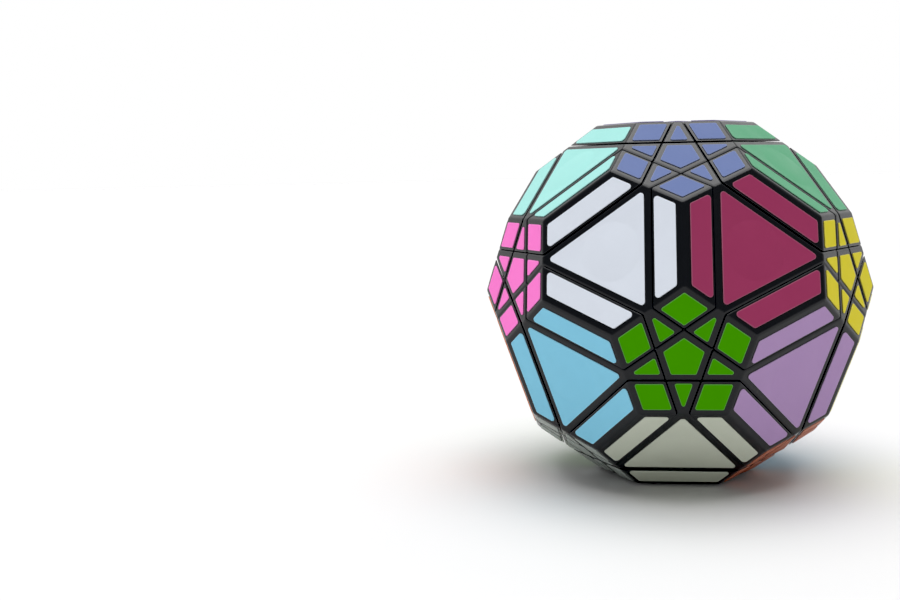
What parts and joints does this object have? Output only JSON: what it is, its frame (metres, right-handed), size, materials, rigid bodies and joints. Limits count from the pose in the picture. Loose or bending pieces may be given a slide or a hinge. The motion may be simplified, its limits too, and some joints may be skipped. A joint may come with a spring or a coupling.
{
  "type": "twisty puzzle",
  "caption": "Truncated-icosahedron twisty puzzle: each hexagon face turns a shallow layer about its own axis, the pentagon faces stay fixed, and every patch has a coloured sticker.",
  "frame": {"origin": "centre of the core, where all turning axes meet", "axes": "+Z through the top hexagon face; the mirror plane of the solid is X = 0, and -Y faces the viewer"},
  "size_m": [0.0964, 0.097, 0.0904],
  "materials": {
    "black_plastic": "satin",
    "core_plastic": "satin",
    "steel": "satin",
    "sticker_hexagon_01": "satin",
    "sticker_hexagon_02": "satin",
    "sticker_hexagon_03": "satin",
    "sticker_hexagon_04": "satin",
    "sticker_hexagon_05": "satin",
    "sticker_hexagon_06": "satin",
    "sticker_hexagon_07": "satin",
    "sticker_hexagon_08": "satin",
    "sticker_hexagon_09": "satin",
    "sticker_hexagon_10": "satin",
    "sticker_hexagon_11": "satin",
    "sticker_hexagon_12": "satin",
    "sticker_hexagon_13": "satin",
    "sticker_hexagon_14": "satin",
    "sticker_hexagon_15": "satin",
    "sticker_hexagon_16": "satin",
    "sticker_hexagon_17": "satin",
    "sticker_hexagon_18": "satin",
    "sticker_hexagon_19": "satin",
    "sticker_hexagon_20": "satin",
    "sticker_pentagon_01": "satin",
    "sticker_pentagon_02": "satin",
    "sticker_pentagon_03": "satin",
    "sticker_pentagon_04": "satin",
    "sticker_pentagon_05": "satin",
    "sticker_pentagon_06": "satin",
    "sticker_pentagon_07": "satin",
    "sticker_pentagon_08": "satin",
    "sticker_pentagon_09": "satin",
    "sticker_pentagon_10": "satin",
    "sticker_pentagon_11": "satin",
    "sticker_pentagon_12": "satin"
  },
  "bodies": {
    "core": {"core_upper": "core_plastic", "core_lower": "core_plastic", "axis_screws": "steel", "axis_springs": "steel", "pentagons_top": "black_plastic", "pentagons_upper": "black_plastic", "pentagons_lower": "black_plastic", "pentagons_bottom": "black_plastic", "pentagon_stickers": "sticker_pentagon_01"},
    "centre_01": {"centre_01": "black_plastic"},
    "centre_02": {"centre_02": "black_plastic"},
    "centre_03": {"centre_03": "black_plastic"},
    "centre_04": {"centre_04": "black_plastic"},
    "centre_05": {"centre_05": "black_plastic"},
    "centre_06": {"centre_06": "black_plastic"},
    "centre_07": {"centre_07": "black_plastic"},
    "centre_08": {"centre_08": "black_plastic"},
    "centre_09": {"centre_09": "black_plastic"},
    "centre_10": {"centre_10": "black_plastic"},
    "centre_11": {"centre_11": "black_plastic"},
    "centre_12": {"centre_12": "black_plastic"},
    "centre_13": {"centre_13": "black_plastic"},
    "centre_14": {"centre_14": "black_plastic"},
    "centre_15": {"centre_15": "black_plastic"},
    "centre_16": {"centre_16": "black_plastic"},
    "centre_17": {"centre_17": "black_plastic"},
    "centre_18": {"centre_18": "black_plastic"},
    "centre_19": {"centre_19": "black_plastic"},
    "centre_20": {"centre_20": "black_plastic"},
    "edge_01_02": {"edge_01_02": "black_plastic"},
    "edge_01_03": {"edge_01_03": "black_plastic"},
    "edge_01_04": {"edge_01_04": "black_plastic"},
    "edge_02_05": {"edge_02_05": "black_plastic"},
    "edge_02_10": {"edge_02_10": "black_plastic"},
    "edge_03_06": {"edge_03_06": "black_plastic"},
    "edge_03_07": {"edge_03_07": "black_plastic"},
    "edge_04_08": {"edge_04_08": "black_plastic"},
    "edge_04_09": {"edge_04_09": "black_plastic"},
    "edge_05_06": {"edge_05_06": "black_plastic"},
    "edge_05_12": {"edge_05_12": "black_plastic"},
    "edge_06_13": {"edge_06_13": "black_plastic"},
    "edge_07_08": {"edge_07_08": "black_plastic"},
    "edge_07_14": {"edge_07_14": "black_plastic"},
    "edge_08_15": {"edge_08_15": "black_plastic"},
    "edge_09_10": {"edge_09_10": "black_plastic"},
    "edge_09_16": {"edge_09_16": "black_plastic"},
    "edge_10_11": {"edge_10_11": "black_plastic"},
    "edge_11_12": {"edge_11_12": "black_plastic"},
    "edge_11_19": {"edge_11_19": "black_plastic"},
    "edge_12_17": {"edge_12_17": "black_plastic"},
    "edge_13_14": {"edge_13_14": "black_plastic"},
    "edge_13_17": {"edge_13_17": "black_plastic"},
    "edge_14_18": {"edge_14_18": "black_plastic"},
    "edge_15_16": {"edge_15_16": "black_plastic"},
    "edge_15_18": {"edge_15_18": "black_plastic"},
    "edge_16_19": {"edge_16_19": "black_plastic"},
    "edge_17_20": {"edge_17_20": "black_plastic"},
    "edge_18_20": {"edge_18_20": "black_plastic"},
    "edge_19_20": {"edge_19_20": "black_plastic"}
  },
  "joints": [
    {"name": "layer_01", "type": "hinge", "parent": "core", "child": "centre_01", "pos_m": [0, 0, 0], "axis": [0, 0, 1], "range_deg": [-240, 120]},
    {"name": "layer_02", "type": "hinge", "parent": "core", "child": "centre_02", "pos_m": [0, 0, 0], "axis": [-0.5774, -0.3333, 0.7454], "range_deg": [-240, 120]},
    {"name": "layer_03", "type": "hinge", "parent": "core", "child": "centre_03", "pos_m": [0, 0, 0], "axis": [0.5774, -0.3333, 0.7454], "range_deg": [-240, 120]},
    {"name": "layer_04", "type": "hinge", "parent": "core", "child": "centre_04", "pos_m": [0, 0, 0], "axis": [0, 0.6667, 0.7454], "range_deg": [-240, 120]},
    {"name": "layer_05", "type": "hinge", "parent": "core", "child": "centre_05", "pos_m": [0, 0, 0], "axis": [-0.3568, -0.8727, 0.3333], "range_deg": [-240, 120]},
    {"name": "layer_06", "type": "hinge", "parent": "core", "child": "centre_06", "pos_m": [0, 0, 0], "axis": [0.3568, -0.8727, 0.3333], "range_deg": [-240, 120]},
    {"name": "layer_07", "type": "hinge", "parent": "core", "child": "centre_07", "pos_m": [0, 0, 0], "axis": [0.9342, 0.1273, 0.3333], "range_deg": [-240, 120]},
    {"name": "layer_08", "type": "hinge", "parent": "core", "child": "centre_08", "pos_m": [0, 0, 0], "axis": [0.5774, 0.7454, 0.3333], "range_deg": [-240, 120]},
    {"name": "layer_09", "type": "hinge", "parent": "core", "child": "centre_09", "pos_m": [0, 0, 0], "axis": [-0.5774, 0.7454, 0.3333], "range_deg": [-240, 120]},
    {"name": "layer_10", "type": "hinge", "parent": "core", "child": "centre_10", "pos_m": [0, 0, 0], "axis": [-0.9342, 0.1273, 0.3333], "range_deg": [-240, 120]},
    {"name": "layer_11", "type": "hinge", "parent": "core", "child": "centre_11", "pos_m": [0, 0, 0], "axis": [-0.9342, -0.1273, -0.3333], "range_deg": [-240, 120]},
    {"name": "layer_12", "type": "hinge", "parent": "core", "child": "centre_12", "pos_m": [0, 0, 0], "axis": [-0.5774, -0.7454, -0.3333], "range_deg": [-240, 120]},
    {"name": "layer_13", "type": "hinge", "parent": "core", "child": "centre_13", "pos_m": [0, 0, 0], "axis": [0.5774, -0.7454, -0.3333], "range_deg": [-240, 120]},
    {"name": "layer_14", "type": "hinge", "parent": "core", "child": "centre_14", "pos_m": [0, 0, 0], "axis": [0.9342, -0.1273, -0.3333], "range_deg": [-240, 120]},
    {"name": "layer_15", "type": "hinge", "parent": "core", "child": "centre_15", "pos_m": [0, 0, 0], "axis": [0.3568, 0.8727, -0.3333], "range_deg": [-240, 120]},
    {"name": "layer_16", "type": "hinge", "parent": "core", "child": "centre_16", "pos_m": [0, 0, 0], "axis": [-0.3568, 0.8727, -0.3333], "range_deg": [-240, 120]},
    {"name": "layer_17", "type": "hinge", "parent": "core", "child": "centre_17", "pos_m": [0, 0, 0], "axis": [0, -0.6667, -0.7454], "range_deg": [-240, 120]},
    {"name": "layer_18", "type": "hinge", "parent": "core", "child": "centre_18", "pos_m": [0, 0, 0], "axis": [0.5774, 0.3333, -0.7454], "range_deg": [-240, 120]},
    {"name": "layer_19", "type": "hinge", "parent": "core", "child": "centre_19", "pos_m": [0, 0, 0], "axis": [-0.5774, 0.3333, -0.7454], "range_deg": [-240, 120]},
    {"name": "layer_20", "type": "hinge", "parent": "core", "child": "centre_20", "pos_m": [0, 0, 0], "axis": [0, 0, -1], "range_deg": [-240, 120]},
    {"name": "edge_01_02_turn", "type": "hinge", "parent": "centre_01", "child": "edge_01_02", "pos_m": [0, 0, 0], "axis": [-0.5774, -0.3333, 0.7454], "range_deg": [-240, 120]},
    {"name": "edge_01_03_turn", "type": "hinge", "parent": "centre_03", "child": "edge_01_03", "pos_m": [0, 0, 0], "axis": [0, 0, 1], "range_deg": [-240, 120]},
    {"name": "edge_01_04_turn", "type": "hinge", "parent": "centre_01", "child": "edge_01_04", "pos_m": [0, 0, 0], "axis": [0, 0.6667, 0.7454], "range_deg": [-240, 120]},
    {"name": "edge_02_05_turn", "type": "hinge", "parent": "centre_02", "child": "edge_02_05", "pos_m": [0, 0, 0], "axis": [-0.3568, -0.8727, 0.3333], "range_deg": [-240, 120]},
    {"name": "edge_02_10_turn", "type": "hinge", "parent": "centre_02", "child": "edge_02_10", "pos_m": [0, 0, 0], "axis": [-0.9342, 0.1273, 0.3333], "range_deg": [-240, 120]},
    {"name": "edge_03_06_turn", "type": "hinge", "parent": "centre_03", "child": "edge_03_06", "pos_m": [0, 0, 0], "axis": [0.3568, -0.8727, 0.3333], "range_deg": [-240, 120]},
    {"name": "edge_03_07_turn", "type": "hinge", "parent": "centre_03", "child": "edge_03_07", "pos_m": [0, 0, 0], "axis": [0.9342, 0.1273, 0.3333], "range_deg": [-240, 120]},
    {"name": "edge_04_08_turn", "type": "hinge", "parent": "centre_04", "child": "edge_04_08", "pos_m": [0, 0, 0], "axis": [0.5774, 0.7454, 0.3333], "range_deg": [-240, 120]},
    {"name": "edge_04_09_turn", "type": "hinge", "parent": "centre_04", "child": "edge_04_09", "pos_m": [0, 0, 0], "axis": [-0.5774, 0.7454, 0.3333], "range_deg": [-240, 120]},
    {"name": "edge_05_06_turn", "type": "hinge", "parent": "centre_06", "child": "edge_05_06", "pos_m": [0, 0, 0], "axis": [-0.3568, -0.8727, 0.3333], "range_deg": [-240, 120]},
    {"name": "edge_05_12_turn", "type": "hinge", "parent": "centre_05", "child": "edge_05_12", "pos_m": [0, 0, 0], "axis": [-0.5774, -0.7454, -0.3333], "range_deg": [-240, 120]},
    {"name": "edge_06_13_turn", "type": "hinge", "parent": "centre_06", "child": "edge_06_13", "pos_m": [0, 0, 0], "axis": [0.5774, -0.7454, -0.3333], "range_deg": [-240, 120]},
    {"name": "edge_07_08_turn", "type": "hinge", "parent": "centre_08", "child": "edge_07_08", "pos_m": [0, 0, 0], "axis": [0.9342, 0.1273, 0.3333], "range_deg": [-240, 120]},
    {"name": "edge_07_14_turn", "type": "hinge", "parent": "centre_07", "child": "edge_07_14", "pos_m": [0, 0, 0], "axis": [0.9342, -0.1273, -0.3333], "range_deg": [-240, 120]},
    {"name": "edge_08_15_turn", "type": "hinge", "parent": "centre_08", "child": "edge_08_15", "pos_m": [0, 0, 0], "axis": [0.3568, 0.8727, -0.3333], "range_deg": [-240, 120]},
    {"name": "edge_09_10_turn", "type": "hinge", "parent": "centre_10", "child": "edge_09_10", "pos_m": [0, 0, 0], "axis": [-0.5774, 0.7454, 0.3333], "range_deg": [-240, 120]},
    {"name": "edge_09_16_turn", "type": "hinge", "parent": "centre_09", "child": "edge_09_16", "pos_m": [0, 0, 0], "axis": [-0.3568, 0.8727, -0.3333], "range_deg": [-240, 120]},
    {"name": "edge_10_11_turn", "type": "hinge", "parent": "centre_10", "child": "edge_10_11", "pos_m": [0, 0, 0], "axis": [-0.9342, -0.1273, -0.3333], "range_deg": [-240, 120]},
    {"name": "edge_11_12_turn", "type": "hinge", "parent": "centre_12", "child": "edge_11_12", "pos_m": [0, 0, 0], "axis": [-0.9342, -0.1273, -0.3333], "range_deg": [-240, 120]},
    {"name": "edge_11_19_turn", "type": "hinge", "parent": "centre_11", "child": "edge_11_19", "pos_m": [0, 0, 0], "axis": [-0.5774, 0.3333, -0.7454], "range_deg": [-240, 120]},
    {"name": "edge_12_17_turn", "type": "hinge", "parent": "centre_17", "child": "edge_12_17", "pos_m": [0, 0, 0], "axis": [-0.5774, -0.7454, -0.3333], "range_deg": [-240, 120]},
    {"name": "edge_13_14_turn", "type": "hinge", "parent": "centre_14", "child": "edge_13_14", "pos_m": [0, 0, 0], "axis": [0.5774, -0.7454, -0.3333], "range_deg": [-240, 120]},
    {"name": "edge_13_17_turn", "type": "hinge", "parent": "centre_13", "child": "edge_13_17", "pos_m": [0, 0, 0], "axis": [0, -0.6667, -0.7454], "range_deg": [-240, 120]},
    {"name": "edge_14_18_turn", "type": "hinge", "parent": "centre_14", "child": "edge_14_18", "pos_m": [0, 0, 0], "axis": [0.5774, 0.3333, -0.7454], "range_deg": [-240, 120]},
    {"name": "edge_15_16_turn", "type": "hinge", "parent": "centre_15", "child": "edge_15_16", "pos_m": [0, 0, 0], "axis": [-0.3568, 0.8727, -0.3333], "range_deg": [-240, 120]},
    {"name": "edge_15_18_turn", "type": "hinge", "parent": "centre_15", "child": "edge_15_18", "pos_m": [0, 0, 0], "axis": [0.5774, 0.3333, -0.7454], "range_deg": [-240, 120]},
    {"name": "edge_16_19_turn", "type": "hinge", "parent": "centre_16", "child": "edge_16_19", "pos_m": [0, 0, 0], "axis": [-0.5774, 0.3333, -0.7454], "range_deg": [-240, 120]},
    {"name": "edge_17_20_turn", "type": "hinge", "parent": "centre_17", "child": "edge_17_20", "pos_m": [0, 0, 0], "axis": [0, 0, -1], "range_deg": [-240, 120]},
    {"name": "edge_18_20_turn", "type": "hinge", "parent": "centre_18", "child": "edge_18_20", "pos_m": [0, 0, 0], "axis": [0, 0, -1], "range_deg": [-240, 120]},
    {"name": "edge_19_20_turn", "type": "hinge", "parent": "centre_19", "child": "edge_19_20", "pos_m": [0, 0, 0], "axis": [0, 0, -1], "range_deg": [-240, 120]}
  ],
  "couplings": [
    {"joint": "edge_01_02_turn", "follows": "layer_02", "ratio": 1},
    {"joint": "edge_01_03_turn", "follows": "layer_01", "ratio": 1},
    {"joint": "edge_01_04_turn", "follows": "layer_04", "ratio": 1},
    {"joint": "edge_02_05_turn", "follows": "layer_05", "ratio": 1},
    {"joint": "edge_02_10_turn", "follows": "layer_10", "ratio": 1},
    {"joint": "edge_03_06_turn", "follows": "layer_06", "ratio": 1},
    {"joint": "edge_03_07_turn", "follows": "layer_07", "ratio": 1},
    {"joint": "edge_04_08_turn", "follows": "layer_08", "ratio": 1},
    {"joint": "edge_04_09_turn", "follows": "layer_09", "ratio": 1},
    {"joint": "edge_05_06_turn", "follows": "layer_05", "ratio": 1},
    {"joint": "edge_05_12_turn", "follows": "layer_12", "ratio": 1},
    {"joint": "edge_06_13_turn", "follows": "layer_13", "ratio": 1},
    {"joint": "edge_07_08_turn", "follows": "layer_07", "ratio": 1},
    {"joint": "edge_07_14_turn", "follows": "layer_14", "ratio": 1},
    {"joint": "edge_08_15_turn", "follows": "layer_15", "ratio": 1},
    {"joint": "edge_09_10_turn", "follows": "layer_09", "ratio": 1},
    {"joint": "edge_09_16_turn", "follows": "layer_16", "ratio": 1},
    {"joint": "edge_10_11_turn", "follows": "layer_11", "ratio": 1},
    {"joint": "edge_11_12_turn", "follows": "layer_11", "ratio": 1},
    {"joint": "edge_11_19_turn", "follows": "layer_19", "ratio": 1},
    {"joint": "edge_12_17_turn", "follows": "layer_12", "ratio": 1},
    {"joint": "edge_13_14_turn", "follows": "layer_13", "ratio": 1},
    {"joint": "edge_13_17_turn", "follows": "layer_17", "ratio": 1},
    {"joint": "edge_14_18_turn", "follows": "layer_18", "ratio": 1},
    {"joint": "edge_15_16_turn", "follows": "layer_16", "ratio": 1},
    {"joint": "edge_15_18_turn", "follows": "layer_18", "ratio": 1},
    {"joint": "edge_16_19_turn", "follows": "layer_19", "ratio": 1},
    {"joint": "edge_17_20_turn", "follows": "layer_20", "ratio": 1},
    {"joint": "edge_18_20_turn", "follows": "layer_20", "ratio": 1},
    {"joint": "edge_19_20_turn", "follows": "layer_20", "ratio": 1}
  ]
}
